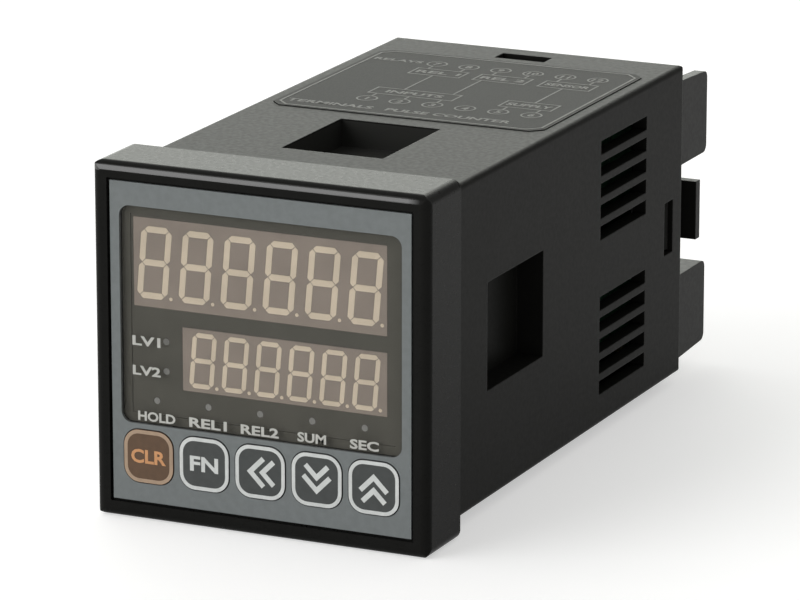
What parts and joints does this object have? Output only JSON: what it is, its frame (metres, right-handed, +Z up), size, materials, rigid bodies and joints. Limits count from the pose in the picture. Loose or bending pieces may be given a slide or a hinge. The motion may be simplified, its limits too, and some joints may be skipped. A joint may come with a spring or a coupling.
{
  "type": "panel counter",
  "caption": "Square panel-mount counter: smoked window over digit rows, push keys below, vented dark case behind the panel and screw terminal strips at the rear.",
  "frame": {"origin": "middle of the panel seat, the rear face of the front frame", "axes": "+X to the right seen from the front, +Y into the panel, +Z up"},
  "size_m": [0.048, 0.1015, 0.048],
  "materials": {
    "case_plastic": "fine matt moulded black plastic",
    "terminal_plastic": "fine matt moulded black plastic",
    "printed_sheet": "satin printed film, grey blue",
    "smoked_window": "smoked acrylic, smooth",
    "holder_plastic": "matt black",
    "circuit_board": "green solder mask",
    "display_body": "grey brown cast face",
    "display_segment": "milky resin, unlit",
    "lamp_lens": "milky resin, unlit",
    "brown_key": "satin, printed",
    "dark_key": "satin, printed",
    "plunger_plastic": "moulded",
    "switch_plastic": "moulded",
    "chip_plastic": "moulded epoxy",
    "connector_plastic": "moulded",
    "core_steel": "varnished laminations",
    "coil_tape": "yellow tape",
    "capacitor_sleeve": "shrunk sleeve",
    "relay_plastic": "moulded",
    "terminal_brass": "plated brass",
    "plated_steel": "nickel plated"
  },
  "bodies": {
    "housing": {"bezel": "case_plastic", "case": "case_plastic", "rear_cover": "terminal_plastic", "upper_terminal_strip": "terminal_plastic", "lower_terminal_strip": "terminal_plastic", "front_sheet": "printed_sheet", "display_window": "smoked_window", "display_holder": "holder_plastic", "display_board": "circuit_board", "power_board": "circuit_board", "output_board": "circuit_board", "terminal_board": "circuit_board", "upper_display": "display_body", "lower_display": "display_body", "upper_segments": "display_segment", "lower_segments": "display_segment", "indicator_lamps": "lamp_lens", "key_switches": "switch_plastic", "display_controller": "chip_plastic", "input_couplers": "chip_plastic", "edge_connectors": "connector_plastic", "transformer_core": "core_steel", "transformer_coil": "coil_tape", "capacitors": "capacitor_sleeve", "output_relays": "relay_plastic", "terminal_plates": "terminal_brass", "clamp_washers": "plated_steel", "terminal_screws": "plated_steel"},
    "reset_button": {"reset_key": "brown_key", "reset_plunger": "plunger_plastic"},
    "mode_button": {"mode_key": "dark_key", "mode_plunger": "plunger_plastic"},
    "left_button": {"left_key": "dark_key", "left_plunger": "plunger_plastic"},
    "down_button": {"down_key": "dark_key", "down_plunger": "plunger_plastic"},
    "up_button": {"up_key": "dark_key", "up_plunger": "plunger_plastic"}
  },
  "joints": [
    {"name": "reset_press", "type": "slide", "parent": "housing", "child": "reset_button", "axis": [0, 1, 0], "range_m": [0, 0.0005], "stiffness_N_per_m": 2000},
    {"name": "mode_press", "type": "slide", "parent": "housing", "child": "mode_button", "axis": [0, 1, 0], "range_m": [0, 0.0005], "stiffness_N_per_m": 2000},
    {"name": "left_press", "type": "slide", "parent": "housing", "child": "left_button", "axis": [0, 1, 0], "range_m": [0, 0.0005], "stiffness_N_per_m": 2000},
    {"name": "down_press", "type": "slide", "parent": "housing", "child": "down_button", "axis": [0, 1, 0], "range_m": [0, 0.0005], "stiffness_N_per_m": 2000},
    {"name": "up_press", "type": "slide", "parent": "housing", "child": "up_button", "axis": [0, 1, 0], "range_m": [0, 0.0005], "stiffness_N_per_m": 2000}
  ]
}
